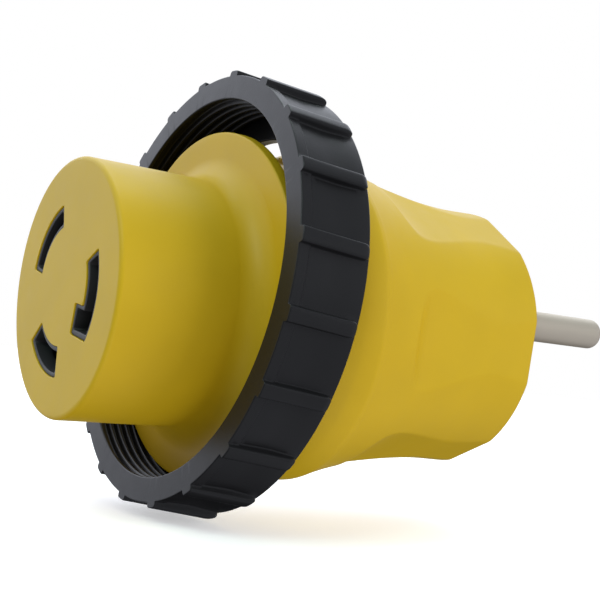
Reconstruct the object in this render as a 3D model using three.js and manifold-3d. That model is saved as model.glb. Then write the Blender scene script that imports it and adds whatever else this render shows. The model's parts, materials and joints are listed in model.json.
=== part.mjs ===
// RV shore-power adapter: a moulded body with a 30 A locking female face at the front,
// a loose threaded locking ring on its neck and a travel-trailer plug at the back.
// Millimetres. The origin is the centre of the female face, +X runs through the body
// towards the plug and +Z is up. Angles are counted from up towards -Y.

import * as THREE from 'three';
import { mergeVertices } from 'three/addons/utils/BufferGeometryUtils.js';
import Module from 'manifold-3d';

const wasm = await Module();
wasm.setup();

// ---------------------------------------------------------------- driving dimensions

const GAP = 0.3;                 // clearance between pieces that touch
const PAST = 1.0;                // how far a cutter runs past the face it opens
const BITE = 0.5;                // how far joined shapes run into each other
const BODY_SEGMENTS = 48;
const RING_SEGMENTS = 60;
const PIN_SEGMENTS = 24;
const SMALL_SEGMENTS = 12;
const EDGE_STEPS = 3;            // steps of a rounded edge

const NOSE_R = 22.0;             // round nose that enters the inlet
const NOSE_EDGE = 0.8;
const FLANGE_FRONT = 25.3;       // seating flange behind the nose
const FLANGE_BACK = 27.6;
const FLANGE_R = 31.0;
const FLANGE_EDGE = 0.35;
const NOSE_FILLET = 4.5;
const NECK_R = 27.3;             // neck that carries the ring
const BELL_FRONT = 38.0;
const BELL_FRONT_R = 29.0;
const BELL_EDGE = 0.9;
const BODY_END = 85.0;
const RIM_R = 25.8;
const RIM_EDGE = 0.6;
const FLARE = [                  // [x, r] from the bell's front edge to the rim
  [BELL_FRONT + BELL_EDGE, BELL_FRONT_R],
  [41.0, 30.0],
  [44.5, 30.6],
  [47.6, 30.1],
  [51.0, 28.9],
  [55.5, 27.85],
  [61.0, 26.8],
  [68.0, 25.95],
  [76.0, 25.55],
  [BODY_END - RIM_EDGE, RIM_R],
];
const FLARE_STEPS = 15;

const SCALLOPS = 6;              // finger flats round the grip
const SCALLOP_FIRST = 36;        // degrees
const SCALLOP_FLOOR = 25.1;      // distance of the flats from the axis
const SCALLOP_WIDTH = 32.0;      // wider than the chord it cuts
const SCALLOP_RUN_IN = [         // [x, distance from the axis] from the flare to the floor
  [53.6, 28.5],
  [55.8, 26.6],
  [58.0, 25.75],
  [61.5, 25.3],
  [67.0, SCALLOP_FLOOR],
];

const RING_CENTRE = new THREE.Vector3(20.94, -0.38, 3.06);
const RING_AXIS = new THREE.Vector3(1, -0.025, -0.1157).normalize();
const RING_WIDTH = 13.0;
const RING_FRONT_R = 38.2;
const RING_BACK_R = 38.6;
const RING_EDGE = 0.4;
const RING_BAND = 2.0;           // plain band at the front edge
const RING_STEP = 0.3;           // the panels behind the band sit this much lower
const RIBS = 20;
const RIB_FRONT_R = 39.15;       // the ribs rise a little towards the back
const RIB_BACK_R = 39.7;
const RIB_WIDTH = 2.4;
const RIB_LENGTH = 12.5;
const RIB_PHASE = 97.4;          // degrees
const MOUTH_LENGTH = 0.6;        // plain mouth in front of the thread
const THREAD_CREST_R = 33.95;
const THREAD_ROOT_R = 35.0;
const THREAD_PITCH = 1.65;
const THREAD_START = 1.4;
const THREAD_TURNS = 5.5;
const LIP_R = 29.8;              // lip that catches the back of the flange
const LIP_FRONT = 11.0;

const FACE_WALL = 1.6;           // yellow skin over the socket core
const COLLAR_FRONT = 0.2;        // the core's slot collars stop just behind the face
const COLLAR_WALL = 0.5;
const COLLAR_BACK = 3.0;
const CORE_R = 19.2;
const CORE_BACK = 18.4;
const COVER_FRONT = CORE_BACK + GAP;
const COVER_BACK = 21.8;
const MOULD_FRONT = COVER_BACK + GAP;
const MOULD_STEP = 30.0;         // the inner mould widens behind the flange
const MOULD_R = 22.0;
const MOULD_BACK = 71.9;
const PLUG_CORE_R = 22.6;
const PLUG_CORE_FRONT = MOULD_BACK + GAP;
const PLUG_CORE_BACK = 83.0;
const CHAMBER_PLAY = 0.25;

// Blade slots of the female face: radii and angles on the face, counted from the
// viewer's right and counter-clockwise as seen from the front.
const HOT_SLOT = { rIn: 10.5, rOut: 14.4, from: 104, to: 167 };
const NEUTRAL_SLOT = { rIn: 9.9, rOut: 15.1, from: 217.5, to: 272 };
const GROUND_SLOT = {
  rIn: 9.4, rOut: 14.2, from: -38.5, to: 25,
  hook: { low: [4.9, -7.7], high: [5.8, -2.6], meets: -19.4 },
};

const CONTACT_FRONT = 6.4;
const CONTACT_BACK = CORE_BACK - GAP;
const CONTACT_BASE = 1.2;        // thickness of the web that joins a contact's leaves
const CONTACT_MARGIN = 2;        // degrees that a contact stays short of its slot's ends
const CONTACT_PLAY = 0.05;
const LEAF = 0.8;                // thickness of a contact leaf
const TAIL_WIDTH = 3.0;
const TAIL_THICKNESS = 1.2;
const BARREL_R = 2.3;            // crimp barrels and wire insulation
const BARREL_BORE = 1.65;
const BARREL_LENGTH = 8.0;
const BARREL_FLOOR = 1.0;
const CONDUCTOR_R = 1.3;
const CONDUCTOR_IN_BARREL = 6.5;
const CHANNEL_R = BARREL_R + GAP;
const BEND_HANDLE = 14.0;        // how gently the wires bend over
const CHANNEL_SIDES = 12;
const CHANNEL_STEPS = 9;
const JACKET_SIDES = 10;
const JACKET_STEPS = 6;
const CONDUCTOR_SIDES = 8;
const CONDUCTOR_STEPS = 8;

const PIN_R = 3.0;
const PIN_TIP = 1.5;
const PIN_SHOULDER_R = 4.0;
const PIN_END = 109.0;
const PIN_AT = [-18.0, 3.0];     // y, z
const BLADE_END = 105.0;
const BLADE_WIDTH = 8.0;
const BLADE_THICKNESS = 1.9;
const BLADE_BEVEL = [2.0, 1.3];  // along and across, at the corners of the free end
const BLADE_SHOULDER_WIDTH = 10.0;
const BLADE_OFFSET = 8.0;        // behind the axis, away from the pin
const BLADE_HALF_SPACING = 9.5;
const BLADE_SLANT = 45;          // degrees
const SHOULDER_LENGTH = 3.0;

const SCREW_AT = [65, 192, 296.5];
const SCREW_CIRCLE_R = 13.0;
const SCREW_R = 1.4;
const SCREW_LENGTH = 14.0;
const SCREW_POINT = 1.2;
const SCREW_HEAD_R = 2.6;
const SCREW_HEAD_HEIGHT = 1.7;
const SCREW_HEAD_EDGE = [0.5, 0.7];
const DRIVE_WIDTH = 0.7;
const DRIVE_DEPTH = 0.7;

// ---------------------------------------------------------------- materials

function plastic(color, roughness) {
  return new THREE.MeshStandardMaterial({ color, roughness, metalness: 0 });
}

function metal(color, roughness) {
  return new THREE.MeshStandardMaterial({ color, roughness, metalness: 1 });
}

const YELLOW = 0xd8ac1e;
const BLACK = 0x1b1b1e;
const GREY = 0x4a4a4c;
const NATURAL = 0xd9d2c0;
const BRASS = 0xc8a24e;
const NICKEL = 0xbdb3a6;
const STEEL = 0x9a9c9f;
const COPPER = 0xb8693e;
const GREEN = 0x2c8a44;
const WHITE = 0xe6e4de;

// ---------------------------------------------------------------- geometry helpers

const radians = THREE.MathUtils.degToRad;

function solidOf(geometry) {
  const bare = geometry.clone();
  bare.deleteAttribute('normal');
  bare.deleteAttribute('uv');
  const merged = mergeVertices(bare, 1e-5);
  const vertProperties = new Float32Array(merged.attributes.position.array);
  const triVerts = new Uint32Array(merged.index.array);
  return new wasm.Manifold(new wasm.Mesh({ numProp: 3, vertProperties, triVerts }));
}

function geometryOf(solid) {
  const mesh = solid.getMesh();
  const geometry = new THREE.BufferGeometry();
  geometry.setAttribute('position', new THREE.BufferAttribute(mesh.vertProperties, 3));
  geometry.setIndex(new THREE.BufferAttribute(mesh.triVerts, 1));
  geometry.computeVertexNormals();
  return geometry;
}

function cutFrom(first, cutters) {
  return cutters.reduce((solid, cutter) => solid.subtract(solidOf(cutter)), solidOf(first));
}

function joined(geometries) {
  const solids = geometries.map(solidOf);
  return solids.reduce((solid, next) => solid.add(next));
}

// A body of revolution about +X. The profile lists [x, r] from front to back, on the outside.
function turned(profile, segments) {
  const points = profile.map(([x, r]) => new THREE.Vector2(r, x));
  const geometry = new THREE.LatheGeometry(points, segments);
  geometry.rotateZ(-Math.PI / 2);
  return geometry;
}

function rod(x0, x1, r, segments) {
  return turned([[x0, 0], [x0, r], [x1, r], [x1, 0]], segments);
}

// Points of a quarter-round edge in the [x, r] plane, about a centre, in degrees.
function arcPoints(centre, radius, from, to, steps) {
  const points = [];
  for (let i = 0; i <= steps; i += 1) {
    const angle = radians(from + ((to - from) * i) / steps);
    points.push([centre[0] + radius * Math.cos(angle), centre[1] + radius * Math.sin(angle)]);
  }
  return points;
}

// A prism along X whose outline is drawn as seen from the front: right is -Y and up is +Z.
function facePrism(shape, x0, x1) {
  const geometry = new THREE.ExtrudeGeometry(shape, {
    depth: x1 - x0, bevelEnabled: false, curveSegments: 6,
  });
  const right = new THREE.Vector3(0, -1, 0);
  const up = new THREE.Vector3(0, 0, 1);
  const towardsViewer = new THREE.Vector3(-1, 0, 0);
  geometry.applyMatrix4(new THREE.Matrix4().makeBasis(right, up, towardsViewer));
  geometry.translate(x1, 0, 0);
  return geometry;
}

function slotShape(slot, grow) {
  const turn = THREE.MathUtils.radToDeg(grow / slot.rOut);
  const from = radians(slot.from - turn);
  const to = radians(slot.to + turn);
  const shape = new THREE.Shape();
  shape.absarc(0, 0, slot.rOut + grow, from, to, false);
  if (slot.hook) {
    const { low, high, meets } = slot.hook;
    shape.absarc(0, 0, slot.rIn - grow, to, radians(meets + turn), true);
    shape.lineTo(high[0] - grow, high[1] + grow);
    shape.lineTo(low[0] - grow, low[1] - grow);
  } else {
    shape.absarc(0, 0, slot.rIn - grow, to, from, true);
  }
  return shape;
}

function box(centre, size) {
  const geometry = new THREE.BoxGeometry(...size);
  geometry.translate(...centre);
  return geometry;
}

function onFace(angle, r) {
  return [-r * Math.cos(radians(angle)), r * Math.sin(radians(angle))];
}

// A closed solid through a row of outlines that have the same number of points.
function loft(outlines) {
  const count = outlines[0].length;
  const positions = outlines.flat().flatMap((p) => [p.x, p.y, p.z]);
  const index = [];
  for (let row = 0; row < outlines.length - 1; row += 1) {
    for (let i = 0; i < count; i += 1) {
      const a = row * count + i;
      const b = row * count + ((i + 1) % count);
      index.push(a, b + count, b, a, a + count, b + count);
    }
  }
  const last = (outlines.length - 1) * count;
  for (let i = 1; i < count - 1; i += 1) {
    index.push(0, i, i + 1);
    index.push(last, last + i + 1, last + i);
  }
  const geometry = new THREE.BufferGeometry();
  geometry.setAttribute('position', new THREE.Float32BufferAttribute(positions, 3));
  geometry.setIndex(index);
  return geometry;
}

// ---------------------------------------------------------------- assembly helpers

const adapter = new THREE.Group();

function add(name, geometry, material, parent = adapter) {
  const mesh = new THREE.Mesh(geometry, material);
  mesh.name = name;
  parent.add(mesh);
  return mesh;
}

// ---------------------------------------------------------------- outer body

function bodyProfile() {
  const filletCentre = [FLANGE_FRONT - NOSE_FILLET, NOSE_R + NOSE_FILLET];
  const filletSteps = 5;
  const flare = new THREE.SplineCurve(FLARE.map(([x, r]) => new THREE.Vector2(x, r)));
  const bellEdgeCentre = [BELL_FRONT + BELL_EDGE, BELL_FRONT_R - BELL_EDGE];
  return [
    [0, 0],
    ...arcPoints([NOSE_EDGE, NOSE_R - NOSE_EDGE], NOSE_EDGE, 180, 90, EDGE_STEPS),
    ...arcPoints(filletCentre, NOSE_FILLET, -90, 0, filletSteps),
    [FLANGE_FRONT, FLANGE_R - FLANGE_EDGE],
    [FLANGE_FRONT + FLANGE_EDGE, FLANGE_R],
    [FLANGE_BACK - FLANGE_EDGE, FLANGE_R],
    [FLANGE_BACK, FLANGE_R - FLANGE_EDGE],
    [FLANGE_BACK, NECK_R],
    [BELL_FRONT, NECK_R],
    ...arcPoints(bellEdgeCentre, BELL_EDGE, 180, 115, EDGE_STEPS),
    ...flare.getPoints(FLARE_STEPS).map((p) => [p.x, p.y]),
    [BODY_END, RIM_R - RIM_EDGE],
    [BODY_END, 0],
  ];
}

// One finger flat: a steep run-in that eases onto a floor parallel to the axis.
function scallopCutter(angle) {
  const lead = 4;
  const outside = FLANGE_R + lead;
  const beyond = BODY_END + PAST;
  const [start, ...runIn] = SCALLOP_RUN_IN;
  const shape = new THREE.Shape();
  shape.moveTo(start[0] - lead, outside);
  shape.lineTo(...start);
  shape.splineThru(runIn.map(([x, distance]) => new THREE.Vector2(x, distance)));
  shape.lineTo(beyond, SCALLOP_FLOOR);
  shape.lineTo(beyond, outside);
  const geometry = new THREE.ExtrudeGeometry(shape, {
    depth: SCALLOP_WIDTH, bevelEnabled: false, curveSegments: 2,
  });
  geometry.translate(0, 0, -SCALLOP_WIDTH / 2);
  geometry.rotateX(Math.PI / 2 + radians(angle));
  return geometry;
}

// The cavity follows the socket core, the inner mould and the plug core.
function bodyCavity() {
  const wideFrom = MOULD_STEP - GAP;
  const widestFrom = PLUG_CORE_FRONT - GAP;
  const back = PLUG_CORE_BACK + GAP;
  return turned([
    [FACE_WALL, 0],
    [FACE_WALL, CORE_R + GAP],
    [wideFrom, CORE_R + GAP],
    [wideFrom, MOULD_R + GAP],
    [widestFrom, MOULD_R + GAP],
    [widestFrom, PLUG_CORE_R + GAP],
    [back, PLUG_CORE_R + GAP],
    [back, 0],
  ], BODY_SEGMENTS);
}

function makeOuterBody() {
  const cutters = [bodyCavity()];
  for (const slot of [HOT_SLOT, NEUTRAL_SLOT, GROUND_SLOT]) {
    cutters.push(facePrism(slotShape(slot, 0), -PAST, FACE_WALL + PAST));
  }
  for (let i = 0; i < SCALLOPS; i += 1) {
    cutters.push(scallopCutter(SCALLOP_FIRST + (360 / SCALLOPS) * i));
  }
  for (const sign of [-1, 1]) {
    cutters.push(bladePlate(sign, PLUG_CORE_BACK - PAST, BODY_END + PAST, GAP));
  }
  const pinHole = rod(PLUG_CORE_BACK - PAST, BODY_END + PAST, PIN_R + GAP, PIN_SEGMENTS);
  pinHole.translate(0, ...PIN_AT);
  cutters.push(pinHole);
  const body = cutFrom(turned(bodyProfile(), BODY_SEGMENTS), cutters);
  add('outer_body', geometryOf(body), plastic(YELLOW, 0.42));
}

// ---------------------------------------------------------------- locking ring

// In the ring's own group +X is its axis and x is 0 on its front face.
function ringBase() {
  const panelR = RING_FRONT_R - RING_STEP;
  return turned([
    [0, THREAD_CREST_R],
    [0, RING_FRONT_R - RING_EDGE],
    [RING_EDGE, RING_FRONT_R],
    [RING_BAND, RING_FRONT_R],
    [RING_BAND, panelR],
    [RING_WIDTH - RING_EDGE, RING_BACK_R],
    [RING_WIDTH, RING_BACK_R - RING_EDGE],
    [RING_WIDTH, LIP_R],
    [LIP_FRONT, LIP_R],
    [LIP_FRONT, THREAD_ROOT_R],
    [MOUTH_LENGTH + RING_EDGE, THREAD_ROOT_R],
    [MOUTH_LENGTH, THREAD_CREST_R],
    [0, THREAD_CREST_R],
  ], RING_SEGMENTS);
}

function rib(angle) {
  const front = RING_EDGE / 2;
  const half = RIB_WIDTH / 2;
  const rootR = RING_FRONT_R - RING_STEP - 2 * BITE;
  const rise = new THREE.Matrix4();
  rise.elements[2] = (RIB_BACK_R - RIB_FRONT_R) / RIB_LENGTH;
  const shape = new THREE.Shape();
  shape.moveTo(front, -half);
  shape.lineTo(RIB_LENGTH - half, -half);
  shape.absarc(RIB_LENGTH - half, 0, half, -Math.PI / 2, Math.PI / 2, false);
  shape.lineTo(front, half);
  const geometry = new THREE.ExtrudeGeometry(shape, {
    depth: RIB_FRONT_R - rootR, bevelEnabled: false, curveSegments: 2,
  });
  geometry.translate(0, 0, rootR);
  geometry.applyMatrix4(rise);
  geometry.rotateX(radians(angle));
  return geometry;
}

// The inside thread: a ridge that follows a helix and fades in and out at its ends.
function threadRidge() {
  const stepsPerTurn = 30;
  const steps = Math.round(THREAD_TURNS * stepsPerTurn);
  const fade = stepsPerTurn / 3;
  const rootHalf = 0.65;
  const crestHalf = 0.15;
  const embedded = THREAD_ROOT_R + BITE;
  const buried = THREAD_ROOT_R + BITE / 2;
  const outlines = [];
  for (let i = 0; i <= steps; i += 1) {
    const turn = (2 * Math.PI * i) / stepsPerTurn;
    const x = THREAD_START + (THREAD_PITCH * i) / stepsPerTurn;
    const rise = Math.min(1, i / fade, (steps - i) / fade);
    const crest = THREE.MathUtils.lerp(buried, THREAD_CREST_R, rise);
    const section = [
      [x + rootHalf, embedded], [x + crestHalf, crest],
      [x - crestHalf, crest], [x - rootHalf, embedded],
    ];
    outlines.push(section.map(([px, r]) => (
      new THREE.Vector3(px, -r * Math.sin(turn), r * Math.cos(turn)))));
  }
  return loft(outlines);
}

function makeLockingRing() {
  const pieces = [ringBase(), threadRidge()];
  for (let i = 0; i < RIBS; i += 1) {
    pieces.push(rib(RIB_PHASE + (360 / RIBS) * i));
  }
  const group = new THREE.Group();
  group.position.copy(RING_CENTRE);
  group.quaternion.setFromUnitVectors(new THREE.Vector3(1, 0, 0), RING_AXIS);
  adapter.add(group);
  add('locking_ring', geometryOf(joined(pieces)), plastic(BLACK, 0.5), group);
}

// ---------------------------------------------------------------- screws

function screwPlace(angle) {
  return onFace(angle, SCREW_CIRCLE_R);
}

// Clearance for one cover screw, from the front of its hole to the back of its head.
function screwCutter(angle) {
  const headFront = COVER_BACK;
  const front = headFront + GAP - SCREW_LENGTH - PAST;
  const back = headFront + SCREW_HEAD_HEIGHT + 2 * GAP;
  const hole = turned([
    [front, 0],
    [front, SCREW_R + GAP],
    [headFront, SCREW_R + GAP],
    [headFront, SCREW_HEAD_R + GAP],
    [back, SCREW_HEAD_R + GAP],
    [back, 0],
  ], SMALL_SEGMENTS);
  hole.translate(0, ...screwPlace(angle));
  return hole;
}

function makeScrew(number, angle) {
  const headFront = COVER_BACK + GAP;
  const headBack = headFront + SCREW_HEAD_HEIGHT;
  const tip = headFront - SCREW_LENGTH;
  const [edgeHeight, edgeDepth] = SCREW_HEAD_EDGE;
  const blank = turned([
    [tip, 0],
    [tip + SCREW_POINT, SCREW_R],
    [headFront, SCREW_R],
    [headFront, SCREW_HEAD_R],
    [headBack - edgeHeight, SCREW_HEAD_R],
    [headBack, SCREW_HEAD_R - edgeDepth],
    [headBack, 0],
  ], SMALL_SEGMENTS);
  const drive = box([headBack, 0, 0], [2 * DRIVE_DEPTH, 3 * SCREW_HEAD_R, DRIVE_WIDTH]);
  const screw = geometryOf(cutFrom(blank, [drive]));
  screw.translate(0, ...screwPlace(angle));
  add(`cover_screw_${number}`, screw, metal(STEEL, 0.35));
}

// ---------------------------------------------------------------- female contacts

const CIRCUITS = [
  { name: 'hot', slot: HOT_SLOT, jacket: BLACK },
  { name: 'neutral', slot: NEUTRAL_SLOT, jacket: WHITE },
  { name: 'ground', slot: GROUND_SLOT, jacket: GREEN },
];

function slotMiddle(slot) {
  const angle = (slot.from + slot.to) / 2;
  const [y, z] = onFace(angle, (slot.rIn + slot.rOut) / 2);
  return { angle, y, z };
}

// The flat tail that runs from a contact through the cover to its crimp barrel.
function contactTail(slot, x0, x1, grow) {
  const { angle, y, z } = slotMiddle(slot);
  const geometry = new THREE.BoxGeometry(
    x1 - x0, TAIL_WIDTH + 2 * grow, TAIL_THICKNESS + 2 * grow);
  geometry.translate((x0 + x1) / 2, 0, 0);
  geometry.rotateX(radians(90 - angle));
  geometry.translate(0, y, z);
  return geometry;
}

function arcBand(slot, rIn, rOut) {
  const shape = new THREE.Shape();
  const from = radians(slot.from + CONTACT_MARGIN);
  const to = radians(slot.to - CONTACT_MARGIN);
  shape.absarc(0, 0, rOut, from, to, false);
  shape.absarc(0, 0, rIn, to, from, true);
  return shape;
}

function frontBarrel(y, z) {
  const front = MOULD_FRONT + GAP;
  const back = front + BARREL_LENGTH;
  const floor = front + BARREL_FLOOR;
  const barrel = turned([
    [front, 0],
    [front, BARREL_R],
    [back, BARREL_R],
    [back, BARREL_BORE],
    [floor, BARREL_BORE],
    [floor, 0],
  ], SMALL_SEGMENTS);
  barrel.translate(0, y, z);
  return barrel;
}

function makeContact({ name, slot }) {
  const inner = slot.rIn + CONTACT_PLAY;
  const outer = slot.rOut - CONTACT_PLAY;
  const baseFront = CONTACT_BACK - CONTACT_BASE;
  const leafBack = baseFront + BITE;
  const { y, z } = slotMiddle(slot);
  const contact = joined([
    facePrism(arcBand(slot, inner, inner + LEAF), CONTACT_FRONT, leafBack),
    facePrism(arcBand(slot, outer - LEAF, outer), CONTACT_FRONT, leafBack),
    facePrism(arcBand(slot, inner, outer), baseFront, CONTACT_BACK),
    contactTail(slot, CONTACT_BACK - BITE, MOULD_FRONT + GAP + BITE, 0),
    frontBarrel(y, z),
  ]);
  add(`${name}_contact`, geometryOf(contact), metal(BRASS, 0.35));
}

// ---------------------------------------------------------------- plug blades and pin

const PIN_ANGLE = Math.atan2(PIN_AT[1], PIN_AT[0]);

function bladePlace(sign) {
  const along = [Math.cos(PIN_ANGLE), Math.sin(PIN_ANGLE)];
  const across = [-along[1], along[0]];
  return [0, 1].map((i) => (
    -BLADE_OFFSET * along[i] + sign * BLADE_HALF_SPACING * across[i]));
}

function atBlade(geometry, sign) {
  geometry.rotateX(PIN_ANGLE + sign * radians(BLADE_SLANT));
  geometry.translate(0, ...bladePlace(sign));
  return geometry;
}

function bladePlate(sign, x0, x1, grow) {
  const size = [x1 - x0, BLADE_WIDTH + 2 * grow, BLADE_THICKNESS + 2 * grow];
  return atBlade(box([(x0 + x1) / 2, 0, 0], size), sign);
}

function bladeShoulder(sign, grow) {
  const x0 = PLUG_CORE_FRONT - grow;
  const x1 = PLUG_CORE_FRONT + SHOULDER_LENGTH + grow;
  const size = [x1 - x0, BLADE_SHOULDER_WIDTH + 2 * grow, 2 * BARREL_R + 2 * grow];
  return atBlade(box([(x0 + x1) / 2, 0, 0], size), sign);
}

// The bare blade: its free end has bevelled corners.
function bladeTongue(sign) {
  const half = BLADE_WIDTH / 2;
  const front = PLUG_CORE_FRONT + BITE;
  const [bevelAlong, bevelAcross] = BLADE_BEVEL;
  const shape = new THREE.Shape();
  shape.moveTo(front, -half);
  shape.lineTo(BLADE_END - bevelAlong, -half);
  shape.lineTo(BLADE_END, -half + bevelAcross);
  shape.lineTo(BLADE_END, half - bevelAcross);
  shape.lineTo(BLADE_END - bevelAlong, half);
  shape.lineTo(front, half);
  const geometry = new THREE.ExtrudeGeometry(shape, {
    depth: BLADE_THICKNESS, bevelEnabled: false,
  });
  geometry.translate(0, 0, -BLADE_THICKNESS / 2);
  return atBlade(geometry, sign);
}

function backBarrel(y, z) {
  const back = PLUG_CORE_FRONT + BITE;
  const front = PLUG_CORE_FRONT - BARREL_LENGTH;
  const floor = PLUG_CORE_FRONT - BARREL_FLOOR;
  const barrel = turned([
    [floor, 0],
    [floor, BARREL_BORE],
    [front, BARREL_BORE],
    [front, BARREL_R],
    [back, BARREL_R],
    [back, 0],
  ], SMALL_SEGMENTS);
  barrel.translate(0, y, z);
  return barrel;
}

function pinShank(grow, x0, x1) {
  const shank = rod(x0, x1, PIN_R + grow, PIN_SEGMENTS);
  shank.translate(0, ...PIN_AT);
  return shank;
}

function pinShoulder(grow) {
  const x0 = PLUG_CORE_FRONT - grow;
  const x1 = PLUG_CORE_FRONT + SHOULDER_LENGTH + grow;
  const shoulder = rod(x0, x1, PIN_SHOULDER_R + grow, PIN_SEGMENTS);
  shoulder.translate(0, ...PIN_AT);
  return shoulder;
}

function makeGroundPin() {
  const front = PLUG_CORE_FRONT + BITE;
  const shank = turned([
    [front, 0],
    [front, PIN_R],
    ...arcPoints([PIN_END - PIN_TIP, PIN_R - PIN_TIP], PIN_TIP, 90, 0, EDGE_STEPS),
    [PIN_END, 0],
  ], PIN_SEGMENTS);
  shank.translate(0, ...PIN_AT);
  const pin = joined([shank, pinShoulder(0), backBarrel(...PIN_AT)]);
  add('ground_pin', geometryOf(pin), metal(NICKEL, 0.3));
}

function makeBlade(name, sign) {
  const blade = joined([bladeTongue(sign), bladeShoulder(sign, 0), backBarrel(...bladePlace(sign))]);
  add(name, geometryOf(blade), metal(NICKEL, 0.3));
}

// ---------------------------------------------------------------- insulating cores

// The core lines each slot of the face with a raised collar; behind it the slot widens
// into the chamber of its contact.
function makeSocketCore() {
  const front = FACE_WALL + GAP;
  const solids = [rod(front, CORE_BACK, CORE_R, BODY_SEGMENTS)];
  const cutters = SCREW_AT.map(screwCutter);
  for (const { slot } of CIRCUITS) {
    const collar = slotShape(slot, -GAP);
    const mouth = slotShape(slot, -GAP - COLLAR_WALL);
    const chamber = slotShape(slot, CHAMBER_PLAY);
    solids.push(facePrism(collar, COLLAR_FRONT, front + BITE));
    cutters.push(facePrism(mouth, -PAST, COLLAR_BACK + BITE));
    cutters.push(facePrism(chamber, COLLAR_BACK, CORE_BACK + PAST));
  }
  const core = cutFrom(geometryOf(joined(solids)), cutters);
  add('socket_core', geometryOf(core), plastic(BLACK, 0.55));
}

function makeCoreCover() {
  const cutters = CIRCUITS.map(({ slot }) => (
    contactTail(slot, COVER_FRONT - PAST, COVER_BACK + PAST, GAP)));
  cutters.push(...SCREW_AT.map(screwCutter));
  const cover = cutFrom(rod(COVER_FRONT, COVER_BACK, CORE_R, BODY_SEGMENTS), cutters);
  add('socket_core_cover', geometryOf(cover), plastic(GREY, 0.55));
}

function makeInnerMould() {
  const reach = BARREL_LENGTH + 3 * PAST;
  const cutters = CIRCUITS.map((circuit) => (
    sweep(circleShape(CHANNEL_R, CHANNEL_SIDES), wireRoute(circuit, reach), CHANNEL_STEPS)));
  cutters.push(...SCREW_AT.map(screwCutter));
  const blank = turned([
    [MOULD_FRONT, 0],
    [MOULD_FRONT, CORE_R],
    [MOULD_STEP, CORE_R],
    [MOULD_STEP, MOULD_R],
    [MOULD_BACK, MOULD_R],
    [MOULD_BACK, 0],
  ], BODY_SEGMENTS);
  const mould = cutFrom(blank, cutters);
  add('inner_mould', geometryOf(mould), plastic(NATURAL, 0.6));
}

function makePlugCore() {
  const beyond = PLUG_CORE_BACK + PAST;
  const cutters = [pinShoulder(GAP), pinShank(GAP, PLUG_CORE_FRONT, beyond)];
  for (const sign of [-1, 1]) {
    cutters.push(bladeShoulder(sign, GAP));
    cutters.push(bladePlate(sign, PLUG_CORE_FRONT, beyond, GAP));
  }
  const core = cutFrom(rod(PLUG_CORE_FRONT, PLUG_CORE_BACK, PLUG_CORE_R, BODY_SEGMENTS), cutters);
  add('plug_core', geometryOf(core), plastic(GREY, 0.55));
}

// ---------------------------------------------------------------- wires

const BACK_PLACES = { hot: bladePlace(-1), neutral: bladePlace(1), ground: PIN_AT };

// A wire leaves its front barrel straight, bends over gently and enters its back barrel
// straight. The straight ends reach `reach` millimetres out from the bent middle.
function wireRoute({ name, slot }, reach) {
  const start = MOULD_FRONT + GAP + BARREL_LENGTH + GAP;
  const end = PLUG_CORE_FRONT - BARREL_LENGTH - GAP;
  const { y, z } = slotMiddle(slot);
  const [backY, backZ] = BACK_PLACES[name];
  const path = new THREE.CurvePath();
  const a = new THREE.Vector3(start, y, z);
  const b = new THREE.Vector3(end, backY, backZ);
  if (reach > 0) {
    path.add(new THREE.LineCurve3(new THREE.Vector3(start - reach, y, z), a));
  }
  path.add(new THREE.CubicBezierCurve3(
    a,
    new THREE.Vector3(start + BEND_HANDLE, y, z),
    new THREE.Vector3(end - BEND_HANDLE, backY, backZ),
    b,
  ));
  if (reach > 0) {
    path.add(new THREE.LineCurve3(b, new THREE.Vector3(end + reach, backY, backZ)));
  }
  return path;
}

function circleShape(r, sides) {
  const shape = new THREE.Shape();
  for (let i = 0; i < sides; i += 1) {
    const angle = (2 * Math.PI * i) / sides;
    shape[i === 0 ? 'moveTo' : 'lineTo'](r * Math.cos(angle), r * Math.sin(angle));
  }
  return shape;
}

function sweep(shape, path, steps) {
  return new THREE.ExtrudeGeometry(shape, { extrudePath: path, steps, bevelEnabled: false });
}

function makeWire(circuit) {
  const jacketShape = circleShape(BARREL_R, JACKET_SIDES);
  jacketShape.holes.push(circleShape(BARREL_BORE, JACKET_SIDES));
  const jacket = sweep(jacketShape, wireRoute(circuit, 0), JACKET_STEPS);
  const copperRoute = wireRoute(circuit, CONDUCTOR_IN_BARREL);
  const conductor = sweep(circleShape(CONDUCTOR_R, CONDUCTOR_SIDES), copperRoute, CONDUCTOR_STEPS);
  add(`${circuit.name}_wire_jacket`, jacket, plastic(circuit.jacket, 0.5));
  add(`${circuit.name}_wire_conductor`, conductor, metal(COPPER, 0.4));
}

// ---------------------------------------------------------------- the assembly

makeOuterBody();
makeLockingRing();
makeSocketCore();
makeCoreCover();
makeInnerMould();
makePlugCore();
CIRCUITS.forEach(makeContact);
SCREW_AT.forEach((angle, i) => makeScrew(i + 1, angle));
makeBlade('hot_blade', -1);
makeBlade('neutral_blade', 1);
makeGroundPin();
CIRCUITS.forEach(makeWire);

export default adapter;
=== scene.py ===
"""RV power adapter: fine surfaces, materials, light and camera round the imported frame.

Sizes are in millimetres and are turned into metres where a mesh is made. Angles round the
body are counted from up (+Z) towards -Y; angles on the female face are counted from -Y,
counter-clockwise as seen from the front.
"""

import json
import math

import bmesh
import bpy
from mathutils import Matrix, Vector
from mathutils.geometry import tessellate_polygon


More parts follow.
